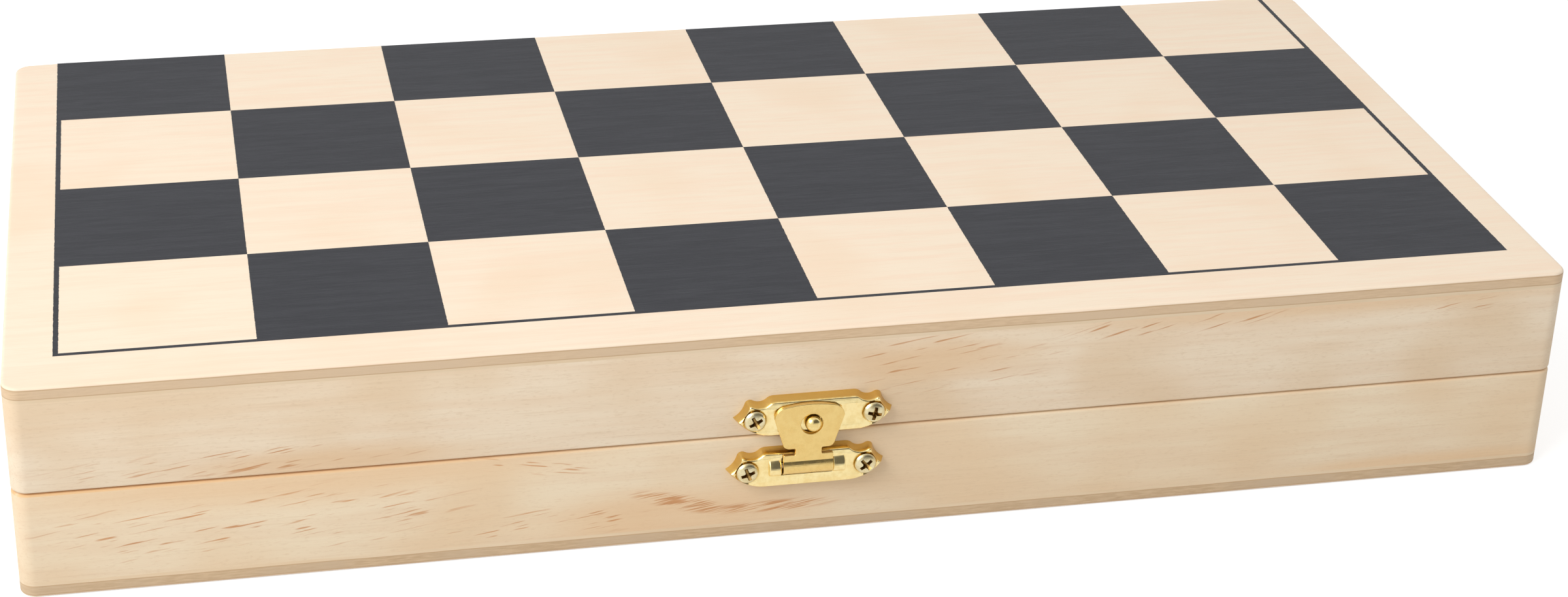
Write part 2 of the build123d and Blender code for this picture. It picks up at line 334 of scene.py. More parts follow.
# %% [markdown]
# ## Latewood dashes as a node group
#
# The pine of the front rails is cut slightly across its year rings, so the brown latewood comes out
# as thin dashes in loose flocks. The group makes the dashes of one oval patch: noise drawn out along
# the dash, of which only the peaks are kept, times a soft mask of the patch.
# %% Latewood dash group
PATCH_EDGE = (1.0, 0.45)
PEAK_FADE = 0.12
vectors = dict.fromkeys(("Place", "Centre", "Reach", "Tilt", "Dash", "Climb"), "Vector")
tree, inside = new_group("latewood dashes", **vectors, Peak="Float")
place = inside["Place"]
patch_place = stretched(tree, place, inside["Reach"], inside["Tilt"], inside["Centre"])
patch = span(tree, vector(tree, "LENGTH", patch_place), *PATCH_EDGE)
dash_place = stretched(tree, place, inside["Dash"], inside["Climb"])
dash_noise = noise(tree, dash_place, detail=1.0, roughness=0.4)
dash = span(tree, dash_noise, inside["Peak"], calc(tree, "ADD", inside["Peak"], PEAK_FADE))
dash_group = finish_group(tree, Mask=calc(tree, "MULTIPLY", dash, patch))

# %% [markdown]
# ## Metal mottling as a node group
#
# The latch is thin pressed sheet with a bright yellow plating. Close up it is not one colour: it
# has cloudy deeper patches, fine brushing along X, and small dull spots.
# %% Metal mottling group
CLOUDS = (0.35, 0.65)
BRUSH_SIZE = (0.006, 0.0002, 0.00012)
SPOTS_PER_CLOUD = 2.6
SPOTS = (0.66, 0.74)
tree, inside = new_group("plated metal", Place="Vector", Patch="Float")
place = inside["Place"]
cloud_scale = calc(tree, "DIVIDE", 1.0, inside["Patch"])
cloud = noise(tree, place, scale=cloud_scale, detail=3.0, roughness=0.6)
spot_scale = calc(tree, "MULTIPLY", cloud_scale, SPOTS_PER_CLOUD)
spot = noise(tree, place, scale=spot_scale, detail=0.0)
mottle_group = finish_group(
    tree,
    Cloud=span(tree, cloud, *CLOUDS),
    Brush=noise(tree, stretched(tree, place, BRUSH_SIZE)),
    Spot=span(tree, spot, *SPOTS),
)

# %% [markdown]
# ## Pine
#
# The rails are pale pine, planed and unvarnished: a cream ground with soft warm bands, fine hairs
# along the grain, and dashes where the photograph shows them. Each kind of rail has its own flocks,
# so one function makes the material from a list of them. Wood along Y turns its coordinates first.
# %% Pine material
PARTING = 21.15 * MM
RIM_REACH = (0.24 * MM, 0.155 * MM)
RIM_BELOW = 0.4
RIM_DEPTH = (-1.4 * MM, -0.5 * MM)
RIM_FADE = (-130 * MM, 0.0, 1.0, 0.1)
PINE_HAIRS = (0.5, 0.8, 0.0, 0.28)
PINE_CLOUDS = (0.4, 0.72, 0.0, 0.7)
PORE_SIZE = (0.0011, 0.00022, 0.00022)
PORES = (0.58, 0.72, 0.0, 0.25)
WARM_EDGE = (1.0, 0.2, 0.0, 0.6)
ANY_DEPTH = 1000
DASH_DEPTH = 1.5
DASH_STRENGTH = 0.85
PINE_ROUGH = (0.3, 0.7, 0.55, 0.72)
PINE_BUMP = 0.03 * MM
FLAT = 0.0
SLOPE = math.radians(9)
STEEP = math.radians(16)
PINE_PALE = paint(245, 226, 196)
PINE_SHADE = paint(241, 218, 187)
PINE_WARM = paint(237, 207, 169)
PINE_HAIR = paint(222, 192, 156)
PINE_GLOW = paint(238, 199, 154)
# Painted shade: the warm darker tint of the rims at the parting line, for the shaded gap.
PINE_GAP_SHADE = paint(235, 194, 142)
DASH_RED = paint(222, 158, 102)
DASH_BROWN = paint(192, 132, 84)


def gap_shade_mask(tree, place):
    """Painted shade: where the rims get a warm darker tint, on the outside close to the parting line.
    """
    across, back, height = split(tree, place)
    above = calc(tree, "SUBTRACT", height, PARTING)
    away = calc(tree, "MAXIMUM", above, calc(tree, "MULTIPLY", above, -RIM_BELOW))
    beyond = [
        calc(tree, "SUBTRACT", calc(tree, "ABSOLUTE", value), limit * MM)
        for value, limit in ((across, SIDE.x), (back, SIDE.y))
    ]
    depth = calc(tree, "MAXIMUM", *beyond)
    mask = calc(tree, "MULTIPLY", span(tree, away, *RIM_REACH), span(tree, depth, *RIM_DEPTH))
    return calc(tree, "MULTIPLY", mask, span(tree, across, *RIM_FADE))


def pine(name, flocks, y, deep=60, glows=(), pale=PINE_PALE, shade=PINE_SHADE, along_y=False):
    """One rail's wood, with flocks of dashes and warm glows that lie at y and reach deep."""
    material, tree, shader = new_material(name, Specular_IOR_Level=0.3)
    place = object_place(tree)
    painted_gap_shade = gap_shade_mask(tree, place)
    if along_y:
        place = stretched(tree, place, (1, 1, 1), turn=(0, 0, math.radians(90)))
    fibre = use_group(tree, fibre_group, Place=place, Length=0.012, Width=0.0004)
    ground = fibrous(tree, fibre, pale, shade, PINE_HAIR, PINE_HAIRS, PINE_WARM, PINE_CLOUDS)
    pores = span(tree, noise(tree, stretched(tree, place, PORE_SIZE), detail=1.0), *PORES)
    ground = colours(tree, pores, ground, PINE_HAIR)
    # Painted shade: the rims near the parting line are tinted warm and darker, for the shaded gap
    # between the halves.
    ground = colours(tree, painted_gap_shade, ground, PINE_GAP_SHADE)
    for (x, z), (wide, high) in glows:
        near = stretched(tree, place, mm(wide, ANY_DEPTH, high), centre=mm(x, y, z))
        distance = vector(tree, "LENGTH", near)
        ground = colours(tree, span(tree, distance, *WARM_EDGE), ground, PINE_GLOW)
    tone = colours(tree, fibre["Band"], DASH_RED, DASH_BROWN)
    for (x, z), (wide, high), tilt, (long, thick), climb, peak in flocks:
        patch = {"Centre": mm(x, y, z), "Reach": mm(wide, deep, high), "Tilt": (0, tilt, 0)}
        dash = {"Dash": mm(long, DASH_DEPTH, thick), "Climb": (0, climb, 0), "Peak": peak}
        mask = use_group(tree, dash_group, Place=place, **patch, **dash)["Mask"]
        ground = colours(tree, calc(tree, "MULTIPLY", mask, DASH_STRENGTH), ground, tone)
    rough = span(tree, fibre["Hair"], *PINE_ROUGH)
    cover(tree, shader, fibre["Hair"], PINE_BUMP, Base_Color=ground, Roughness=rough)
    return material


upper_front_pine = pine(
    "pine_upper_front",
    [
        ((-104, 24.6), (44, 3.2), FLAT, (6.5, 0.36), -SLOPE, 0.615),
        ((22, 33.6), (28, 8.0), FLAT, (7.5, 0.44), -SLOPE, 0.645),
        ((66, 37.6), (34, 2.6), FLAT, (8, 0.44), -STEEP, 0.62),
        ((124, 37.2), (16, 1.8), FLAT, (7, 0.34), -SLOPE, 0.62),
    ],
    -SIDE.y,
    glows=[((-90, 23), (40, 4.5)), ((20, 34), (30, 6)), ((95, 39.5), (75, 4))],
    # Painted light: the upper front rail gets lighter tones than the same pine below it, standing in
    # for more light on it.
    pale=paint(252, 233, 206),
    shade=paint(248, 225, 196),
)
lower_front_pine = pine(
    "pine_lower_front",
    [
        ((-104, 11.6), (50, 9.0), FLAT, (6.8, 0.4), -SLOPE, 0.63),
        ((-54, 18.6), (14, 1.9), SLOPE, (5, 0.38), SLOPE, 0.58),
        ((-26, 8.3), (12, 2.0), STEEP, (5.5, 0.2), -SLOPE, 0.46),
        ((-9, 6.0), (15, 1.5), FLAT, (6.5, 0.19), -SLOPE, 0.48),
        ((-50, 6.4), (26, 4.0), FLAT, (6, 0.38), -SLOPE, 0.63),
    ],
    -SIDE.y,
    glows=[((-95, 20.5), (75, 8.5)), ((-25, 6), (40, 9)), ((120, 3.5), (40, 2.5))],
)
side_pine = pine(
    "pine_sides", [((0, 20), (60, 16), FLAT, (8, 0.45), -SLOPE, 0.65)], 0, deep=400, along_y=True
)
back_pine = pine("pine_back", [((30, 20), (90, 16), FLAT, (8, 0.45), -SLOPE, 0.64)], SIDE.y)
print("pine materials", [material.name for material in bpy.data.materials])

# %% [markdown]
# ## Veneered plywood
#
# The panels are three-ply board. The outer veneer is almost white; on the sawn edge the darker core
# shows between it and the inner veneer, with a line of glue at each. Both panels lie at the same
# distance from the parting plane, so the layers are told by that distance.
# %% Plywood material
INNER_VENEER = (18.74 * MM, 18.8 * MM)
INNER_GLUE = (18.88 * MM, 18.98 * MM)
OUTER_GLUE = (20.44 * MM, 20.54 * MM)
OUTER_VENEER = (20.64 * MM, 20.76 * MM)
GLUE_WOBBLE = 0.3 * MM
GRAIN_SIZE = (0.003, 0.003, 0.00035)
CORE_BANDS = (0.3, 0.7)
CORE_CLOUD_SCALE = 60.0
CORE_CLOUDS = (0.35, 0.7)
VENEER = [paint(255, 236, 211), paint(255, 231, 205), paint(242, 213, 180), (0.5, 0.8, 0.0, 0.4)]
VENEER_WARM = [paint(252, 225, 195), (0.45, 0.75, 0.0, 0.6)]
INNER = [paint(241, 218, 186), paint(237, 211, 176), paint(224, 195, 158), (0.5, 0.8, 0.0, 0.3)]
CORE_PALE = paint(223, 195, 159)
CORE_BROWN = paint(206, 176, 139)
CORE_WARM = paint(213, 188, 157)
CORE_PAINTED_LIGHT = paint(248, 216, 180)
PAINTED_LIGHT_SHARE = (-MM, MM, 0.0, 0.32)
GLUE = paint(206, 173, 135)
VENEER_BUMP = 0.03 * MM
ply, tree, shader = new_material("veneered_ply", Roughness=0.55, Specular_IOR_Level=0.35)
place = object_place(tree)
fibre = use_group(tree, fibre_group, Place=place, Length=0.009, Width=0.0003)
veneer = fibrous(tree, fibre, *VENEER, *VENEER_WARM)
inner = fibrous(tree, fibre, *INNER)
core_grain = noise(tree, stretched(tree, place, GRAIN_SIZE), detail=3.0, roughness=0.6)
core_cloud = noise(tree, place, scale=CORE_CLOUD_SCALE, detail=1.0)
above = calc(tree, "SUBTRACT", split(tree, place)[2], PARTING)
core = colours(tree, span(tree, core_grain, *CORE_BANDS), CORE_PALE, CORE_BROWN)
core = colours(tree, span(tree, core_cloud, *CORE_CLOUDS), core, CORE_WARM)
# Painted light: the core on the upper panel's edge is mixed a third of the way towards a lighter tone,
# though both panels are one board.
core = colours(tree, span(tree, above, *PAINTED_LIGHT_SHARE), core, CORE_PAINTED_LIGHT)
wobble = calc(tree, "MULTIPLY", calc(tree, "SUBTRACT", core_cloud, 0.5), GLUE_WOBBLE)
away = calc(tree, "ADD", calc(tree, "ABSOLUTE", above), wobble)
borders = (INNER_VENEER, INNER_GLUE, OUTER_GLUE, OUTER_VENEER)
edge = inner
for border, layer in zip(borders, (GLUE, core, GLUE, veneer)):
    edge = colours(tree, span(tree, away, *border, kind="LINEAR"), edge, layer)
cover(tree, shader, fibre["Hair"], VENEER_BUMP, Base_Color=edge)
print("material", ply.name)

# %% [markdown]
# ## Black printing ink
#
# The dark squares are printed on the bare veneer. The ink is matt and thin, so the fibres still
# show through it as fine raised lines, and here and there it is a little lighter.
# %% Ink material
INK = [paint(49, 50, 55), paint(56, 57, 62), paint(72, 73, 78), (0.52, 0.78, 0.0, 0.5)]
INK_BUMP = 0.08 * MM
ink, tree, shader = new_material("black_ink", Roughness=0.6, Specular_IOR_Level=0.28)
fibre = use_group(tree, fibre_group, Place=object_place(tree), Length=0.005, Width=0.00022)
cover(tree, shader, fibre["Hair"], INK_BUMP, Base_Color=fibrous(tree, fibre, *INK))
print("material", ink.name)

# %% [markdown]
# ## Brass
#
# Metal shows what is around it, so its colour is only a tint, and the shape and the roughness do
# the rest. One recipe serves all the brass with different tints. The skirts of the plates get a
# deeper tint than their faces, which is painted shade for the darker things that they mirror.
# %% Brass materials
PATCH_SIZE = 1.6 * MM
DEEP_SHARE = 0.55
SPOT_SHARE = 0.35
ROUGH_SPREAD = 0.1
SKIRT_SHADE_WOBBLE = 0.12 * MM
BRUSH_BUMP = 0.012 * MM
FACE_TO_SKIRT = (-74.42 * MM, -74.1 * MM)


def plated(name, bright, deep, roughness, side=None):
    """A plated metal; side is the deeper tint of a pressing's skirt below its face, a painted shade."""
    material, tree, shader = new_material(name, Metallic=1.0)
    bright = paint(*bright)
    deep = paint(*deep)
    place = object_place(tree)
    mottle = use_group(tree, mottle_group, Place=place, Patch=PATCH_SIZE)
    cloud = mottle["Cloud"]
    tint = colours(tree, span(tree, cloud, 0.0, 1.0, 0.0, DEEP_SHARE), bright, deep)
    tint = colours(tree, calc(tree, "MULTIPLY", mottle["Spot"], SPOT_SHARE), tint, deep)
    # Painted shade: below the face the tint turns deeper along a wobbling border, for the darker
    # reflections on the skirt.
    if side:
        skirt_shade_border = calc(tree, "MULTIPLY_ADD", cloud, SKIRT_SHADE_WOBBLE, split(tree, place)[1])
        tint = colours(tree, span(tree, skirt_shade_border, *FACE_TO_SKIRT), tint, paint(*side))
    rough = span(tree, cloud, 0.0, 1.0, roughness, roughness + ROUGH_SPREAD, kind="LINEAR")
    cover(tree, shader, mottle["Brush"], BRUSH_BUMP, Base_Color=tint, Roughness=rough)
    return material


plate_brass = plated("plate_brass", (251, 231, 172), (243, 216, 148), 0.14, side=(226, 192, 116))
tongue_brass = plated("tongue_brass", (236, 205, 134), (230, 196, 122), 0.18)
stud_brass = plated("stud_brass", (246, 224, 160), (230, 196, 120), 0.12)
screw_brass = plated("screw_brass", (232, 220, 180), (208, 186, 130), 0.24)
# The recess brass is darker than the heads: partly oxide in the hollow, partly painted shade.
recess_oxide_and_shade = plated("recess_oxide_and_shade", (172, 140, 82), (124, 96, 50), 0.32)
hinge_brass = plated("hinge_brass", (240, 214, 142), (214, 176, 96), 0.28)
pin_steel = plated("pin_steel", (206, 204, 200), (170, 168, 162), 0.25)
print("metals ready")

# %% [markdown]
# ## Floor, background and light
#
# The floor and the sky are pure white only to the camera and to what mirrors them, so the light on
# the wood stays plain. A studio is dark around the camera, and mirror rays see that, which gives
# the bends of the brass their dark lines. One large soft lamp stands at the upper left.
# %% Floor and light
WHITE = (1, 1, 1, 1)
SKY_LIGHT = 0.63
LAMP_POWER = 7.0
LAMP_SIZE = 0.7
LAMP_PLACE = Vector((-0.75, -0.45, 0.7))
LAMP_AIM = Vector((0, 0, 0.02))
DARK_ROOM = 0.86
ROOM_UP = (0.02, 0.12)
ROOM_TOP = (0.93, 0.84)
ROOM_FRONT = (-0.1, -0.3)
ROOM_RIGHT = (-0.3, 0.0)
FLOOR_SIZE = 6.0
FLOOR_LEVEL = -0.02 * MM
FLOOR_LOOK = {"Base_Color": (0.62, 0.62, 0.62, 1), "Roughness": 0.9, "Specular_IOR_Level": 0.0}
SEEN_GLOW = 0.62
MIRROR_GLOW = 0.38

clear()
bpy.ops.mesh.primitive_grid_add(
    x_subdivisions=2, y_subdivisions=2, size=FLOOR_SIZE, location=(0, 0, FLOOR_LEVEL)
)
floor = settle("floor")
floor_material, tree, shader = new_material("floor_white", Emission_Color=WHITE, **FLOOR_LOOK)
rays = add_node(tree, "LightPath").outputs
mirror = calc(tree, "MAXIMUM", rays["Is Glossy Ray"], rays["Is Transmission Ray"])
glow = calc(tree, "MULTIPLY", mirror, MIRROR_GLOW)
glow = calc(tree, "MULTIPLY_ADD", rays["Is Camera Ray"], SEEN_GLOW, glow)
tree.links.new(glow, shader.inputs["Emission Strength"])
floor.data.materials.append(floor_material)

world = bpy.data.worlds.new("sky")
bpy.context.scene.world = world
world.use_nodes = True
tree = world.node_tree
tree.nodes.clear()
rays = add_node(tree, "LightPath").outputs
right, back, up = split(tree, add_node(tree, "TexCoord").outputs["Generated"])
room = span(tree, up, *ROOM_UP)
for value, limits in ((up, ROOM_TOP), (back, ROOM_FRONT), (right, ROOM_RIGHT)):
    room = calc(tree, "MULTIPLY", room, span(tree, value, *limits))
mirrored = calc(tree, "MULTIPLY_ADD", room, -DARK_ROOM, 1.0)
plain, mirror, white = [
    add_node(tree, "Background", {"Color": WHITE, "Strength": strength}).outputs[0]
    for strength in (SKY_LIGHT, mirrored, 1.0)
]
lit = add_node(tree, "MixShader", {0: rays["Is Glossy Ray"], 1: plain, 2: mirror}).outputs[0]
shown = add_node(tree, "MixShader", {0: rays["Is Camera Ray"], 1: lit, 2: white}).outputs[0]
add_node(tree, "OutputWorld", {"Surface": shown})

lamp_data = bpy.data.lights.new("soft_lamp", "AREA")
lamp_data.energy = LAMP_POWER
lamp_data.size = LAMP_SIZE
lamp = bpy.data.objects.new("soft_lamp", lamp_data)
bpy.context.collection.objects.link(lamp)
lamp.location = LAMP_PLACE
lamp.rotation_euler = (LAMP_AIM - LAMP_PLACE).to_track_quat("-Z", "Y").to_euler()
print("floor, sky and lamp ready")

# %% [markdown]
# ## Dressing
#
# A finished piece gets its material, smooth shading and the body that it moves with, and the solid
# that it stands for is hidden.
# %% Dress a piece
SMOOTH_FOLD = math.radians(35)


def dress(piece, material, body, node):
    """Finishes a piece; one that already has its materials gets None."""
    if material:
        piece.data.materials.clear()
        piece.data.materials.append(material)
    only(piece)
    bpy.ops.object.shade_smooth_by_angle(angle=SMOOTH_FOLD)
    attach(piece, body)
    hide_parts(node)
    print(piece.name, triangles(piece), "triangles")


def tidy_normals(piece):
    """Merges doubles and turns all faces outward."""
    pick(piece, "VERT")
    bpy.ops.mesh.remove_doubles(threshold=DOUBLE)
    bpy.ops.mesh.normals_make_consistent(inside=False)
    object_mode()


print("dressing ready")

# %% [markdown]
# ## The two panels
#
# A panel is a rectangle of 3 mm board with rounded corners. Its outer arris is sanded to a soft fold,
# but at the hinges the board was sawn in two after printing, so that edge is sharp. A block with
# bevelled edges gives all this. Its outer face lies a hair below the ink.
# %% Panels
PANEL = 3.0
INK_THICK = 0.02
CORNER = 3.2
CORNER_STEPS = 16
ARRIS = 0.6
ARRIS_STEPS = 6


def extent(edge):
    """How far an edge goes along X, Y and Z."""
    return Vector(map(abs, edge.verts[0].co - edge.verts[1].co))


def is_upright(edge):
    return extent(edge).z > CLOSE


def lies_at(edge, axis, level):
    """True for an edge that lies at a level of an axis, in millimetres."""
    return all(abs(getattr(vertex.co, axis) - level * MM) < CLOSE for vertex in edge.verts)


def round_edges(piece, wanted, width, segments):
    """Bevels the edges that wanted() accepts."""
    pick(piece, "EDGE", wanted)
    bpy.ops.mesh.bevel(offset=width * MM, segments=segments, affect="EDGES")
    object_mode()


def make_panel(name, inner, outer):
    def is_sanded(edge):
        return lies_at(edge, "z", outer) and not lies_at(edge, "y", SIDE.y)

    panel = add_block(name, ALL_X, ALL_Y, (inner, outer))
    round_edges(panel, is_upright, CORNER, CORNER_STEPS)
    round_edges(panel, is_sanded, ARRIS, ARRIS_STEPS)
    return panel


upper_panel = make_panel("upper_panel_wood", BOARD.z - PANEL, BOARD.z - INK_THICK)
dress(upper_panel, ply, "lid", "upper_panel")
lower_panel = make_panel("lower_panel_wood", PANEL, INK_THICK)
dress(lower_panel, ply, "base", "lower_panel")

# %% [markdown]
# ## The rails
#
# Each tray has a long rail at the front and the back with rounded outer corners, and two short
# rails between them. The rims that meet at the parting line are eased, and that small fold catches
# the light along the lower half.
# %% Rails
RAIL = 8.0
HALF = 21.0
EASE = 0.5
EASE_STEPS = 3
OUTSIDE = 6.0


def make_rail(name, x, y, upper, corners):
    """A rail of the base tray, or of the lid where upper is true."""
    z = (BOARD.z - HALF, BOARD.z - PANEL) if upper else (PANEL, HALF)
    rim = z[0] if upper else z[1]
    rail = add_block(name, x, y, z)

    def is_corner(edge):
        return is_upright(edge) and abs(edge.verts[0].co.y) > SIDE.y * MM - CLOSE

    def is_long_rim(edge):
        end = edge.verts[0].co
        along = extent(edge).x > extent(edge).y
        outer = min(SIDE.x * MM - abs(end.x), SIDE.y * MM - abs(end.y)) < OUTSIDE * MM
        return lies_at(edge, "z", rim) and (outer or along == corners)

    if corners:
        round_edges(rail, is_corner, CORNER, CORNER_STEPS)
    round_edges(rail, is_long_rim, EASE, EASE_STEPS)
    return rail


between = (RAIL - SIDE.y, SIDE.y - RAIL)
rails = {}
for half in ("lower", "upper"):
    for side, x, y in (
        ("front", ALL_X, (-SIDE.y, RAIL - SIDE.y)),
        ("back", ALL_X, (SIDE.y - RAIL, SIDE.y)),
        ("left", (-SIDE.x, RAIL - SIDE.x), between),
        ("right", (SIDE.x - RAIL, SIDE.x), between),
    ):
        node = f"{half}_{side}_rail"
        rails[node] = make_rail(f"{node}_wood", x, y, half == "upper", x == ALL_X)
print("rails", len(rails))

# %% [markdown]
# The hinge leaves are let into the rims of the back rails, and their knuckles need a round groove.
# Boolean cuts with a block and a rod make both, at the same places in both halves.
# %% Mortises for the hinges
HINGE_X = (-90.0, 90.0)
HINGE_LENGTH = 25.5
HINGE_AXIS = (72.65, 21.15)
MORTISE_Y = (65.95, 74.0)
MORTISE_Z = {"lower": (20.5, 22.5), "upper": (19.8, 21.8)}
GROOVE = 1.55
for half, z in MORTISE_Z.items():
    rail = rails[f"{half}_back_rail"]
    for x in HINGE_X:
        ends = (x - HINGE_LENGTH / 2, x + HINGE_LENGTH / 2)
        cut(rail, add_block("mortise", ends, MORTISE_Y, z))
        cut(rail, add_rod("groove", GROOVE, *[mm(end, *HINGE_AXIS) for end in ends]))
for node, rail in rails.items():
    body = "lid" if node.startswith("upper") else "base"
    wood = side_pine if "left" in node or "right" in node else back_pine
    if "front" in node:
        wood = upper_front_pine if body == "lid" else lower_front_pine
    dress(rail, wood, body, node)

# %% [markdown]
# ## The printed squares
#
# Each dark square is a thin plate of ink. Across the grain the ink has run a little into the fibres,
# so those edges are ragged; along the grain they are crisp. The edges along Y are subdivided, and a
# Displace modifier shakes them along X.
# %% Squares
SQUARE = 34.0
COLUMNS = 8
ROWS = 4
GRID_LEFT = -134.9
GRID_FRONT = -60.3
FRAME_X = (-136.3, 137.3)
FRAME_Y = (-61.5, SIDE.y - 0.05)
COLUMN_ENDS = [FRAME_X[0], *(GRID_LEFT + SQUARE * step for step in range(1, COLUMNS)), FRAME_X[1]]
ROW_ENDS = [FRAME_Y[0], *(GRID_FRONT + SQUARE * step for step in range(1, ROWS)), FRAME_Y[1]]
LINE = 0.95
INK_DEPTH = 0.1
BLEED = 0.2
BLEED_STEP = 0.3
bleed = bpy.data.textures.new("ink_bleed", "CLOUDS")
bleed.noise_scale = 0.35 * MM
bleed.noise_depth = 3


def ink_plate(x, y, z):
    """A thin plate of ink between limits, its edges along Y ragged."""
    plate = add_block("ink", x, y, z)
    pick(plate, "EDGE", lambda edge: extent(edge).y > CLOSE)
    bpy.ops.mesh.subdivide(number_cuts=max(1, int((y[1] - y[0]) / BLEED_STEP)))
    shake = {"texture": bleed, "texture_coords": "LOCAL", "direction": "X", "strength": BLEED * MM}
    apply_modifier(plate, "DISPLACE", **shake)
    return plate


def print_half(half, first_dark, z):
    """The dark squares, and the frame line beside the pale ones."""
    plates = []
    for row, (y0, y1) in enumerate(zip(ROW_ENDS, ROW_ENDS[1:])):
        for column, (x0, x1) in enumerate(zip(COLUMN_ENDS, COLUMN_ENDS[1:])):
            if (row + column) % 2 == first_dark:
                plates.append(ink_plate((x0, x1), (y0, y1), z))
                continue
            if column == 0:
                plates.append(ink_plate((x0, x0 + LINE), (y0, y1), z))
                x0 += LINE
            if column == COLUMNS - 1:
                plates.append(ink_plate((x1 - LINE, x1), (y0, y1), z))
                x1 -= LINE
            if row == 0:
                plates.append(ink_plate((x0, x1), (y0, y0 + LINE), z))
    return join(f"{half}_print_ink", plates)


dress(print_half("upper", 1, (BOARD.z - INK_DEPTH, BOARD.z)), ink, "lid", "upper_print")
dress(print_half("lower", 0, (0.0, INK_DEPTH)), ink, "base", "lower_print")

# %% [markdown]
# ## Drawing flat outlines on the front
#
# The pieces of the latch are drawn as flat outlines on the front: x runs to the right, v up from the
# parting line, and w out of the wood. An outline is made as by hand, from one vertex that is
# extruded from point to point, and then filled. Arcs are given by three points.
# %% Outlines
OUT = Vector((0, -1, 0))
ACROSS = Vector((1, 0, 0))


def on_front(x, v, w):
    """A point on the front of the box, in millimetres."""
    return mm(x, -SIDE.y - w, BOARD.z / 2 + v)


def front_block(name, x, v, w):
    """A box on the front between pairs of limits."""
    return add_block(name, x, [-SIDE.y - out for out in w], [BOARD.z / 2 + up for up in v])


def circle(first, middle, last):
    """Centre, start angle and sweep of the circle through three points."""
    (ax, ay), (bx, by), (cx, cy) = first, middle, last
    squares = (ax**2 + ay**2, bx**2 + by**2, cx**2 + cy**2)
    double = 2 * (ax * (by - cy) + bx * (cy - ay) + cx * (ay - by))
    x = (squares[0] * (by - cy) + squares[1] * (cy - ay) + squares[2] * (ay - by)) / double
    y = (squares[0] * (cx - bx) + squares[1] * (ax - cx) + squares[2] * (bx - ax)) / double
    start, via, end = (math.atan2(q - y, p - x) for p, q in (first, middle, last))
    sweep = (end - start) % math.tau
    if (via - start) % math.tau > sweep:
        sweep -= math.tau
    return Vector((x, y)), start, sweep


def arc(first, middle, last, steps=10):
    """Points along the circle through three points, after the first and up to the last."""
    centre, start, sweep = circle(first, middle, last)
    radius = math.dist(first, centre)
    angles = [start + sweep * step / steps for step in range(1, steps + 1)]
    return [
        (centre.x + radius * math.cos(angle), centre.y + radius * math.sin(angle)) for angle in angles
    ]


def both_sides(half):
    """A closed outline from its right half, which starts and ends on the middle line."""
    return half + [(-x, y) for x, y in reversed(half[1:-1])]


def trace(name, points, closed=True):
    """Extrudes one vertex along the points; fills the outline where it is closed."""
    clear()
    bpy.ops.mesh.primitive_plane_add(size=MM, location=points[0])
    piece = settle(name)
    pick(piece, "VERT")
    bpy.ops.mesh.merge(type="CENTER")
    for here, there in zip(points, points[1:]):
        bpy.ops.mesh.extrude_region_move(TRANSFORM_OT_translate={"value": there - here})
    if closed:
        bpy.ops.mesh.select_all(action="SELECT")
        bpy.ops.mesh.edge_face_add()
    object_mode()
    return piece


def face_towards(piece, direction):
    """Turns a flat face over if it looks away from a direction, and leaves it selected."""
    pick(piece, "FACE")
    if piece.data.polygons[0].normal.dot(direction) < 0:
        bpy.ops.mesh.flip_normals()


def close_side(piece):
    """Fills the side of an extruded face that is still open."""
    bpy.ops.mesh.select_all(action="DESELECT")
    bpy.ops.mesh.select_mode(type="EDGE")
    bpy.ops.mesh.select_non_manifold()
    bpy.ops.mesh.edge_face_add()
    tidy_normals(piece)


def thicken(piece, direction, reach):
    """Extrudes a flat traced face into a solid."""
    face_towards(piece, direction)
    bpy.ops.mesh.extrude_region_move(TRANSFORM_OT_translate={"value": direction * reach * MM})
    close_side(piece)


def add_bar(name, profile, low, high):
    """A bar along X from low to high, with a section of (v, w) points."""
    bar = trace(name, [on_front(low, v, w) for v, w in profile])
    thicken(bar, ACROSS, high - low)
    return bar


def lathe(name, profile, centre, axis, steps=48):
    """Spins a profile of points once round an axis."""
    piece = trace(name, profile, closed=False)
    pick(piece, "VERT")
    bpy.ops.mesh.spin(steps=steps, angle=math.tau, center=centre, axis=axis)
    tidy_normals(piece)
    return piece


print("outline helpers ready")

# %% [markdown]
# ## The pressed plates
#
# Both plates are the same pressing: a straight top between two scalloped ears, a point at each
# end and a foot like the bottom of a boat. The skirt slopes inwards and bends round at its top. The
# inset operator would cross its own edges in the sharp tips, so each ring is the same chain of
# arcs moved inwards.
# %% Rings of the plates
TIP = (14.9, 4.0)
FLANK = (12.8, 6.6)
CUSP = (11.3, 7.25)
SHOULDER = (8.6, 7.65)
TOP_END = (7.4, 8.0)
plate_arcs = [
    ((0.0, 0.0), (3.8, -0.001), (7.6, 0.0), 2),
    ((7.6, 0.0), (12.2, 1.3), TIP, 14),
    (TIP, (13.5, 5.2), FLANK, 8),
    (FLANK, (12.2, 7.35), CUSP, 8),
    (CUSP, (10.0, 6.95), SHOULDER, 10),
    (SHOULDER, (8.0, 7.92), TOP_END, 5),
    (TOP_END, (3.7, 8.001), (0.0, 8.0), 2),
]


def inward(angle, sweep):
    """The direction to the left of travel at an angle of an arc."""
    sign = -1 if sweep > 0 else 1
    return Vector((math.cos(angle), math.sin(angle))) * sign


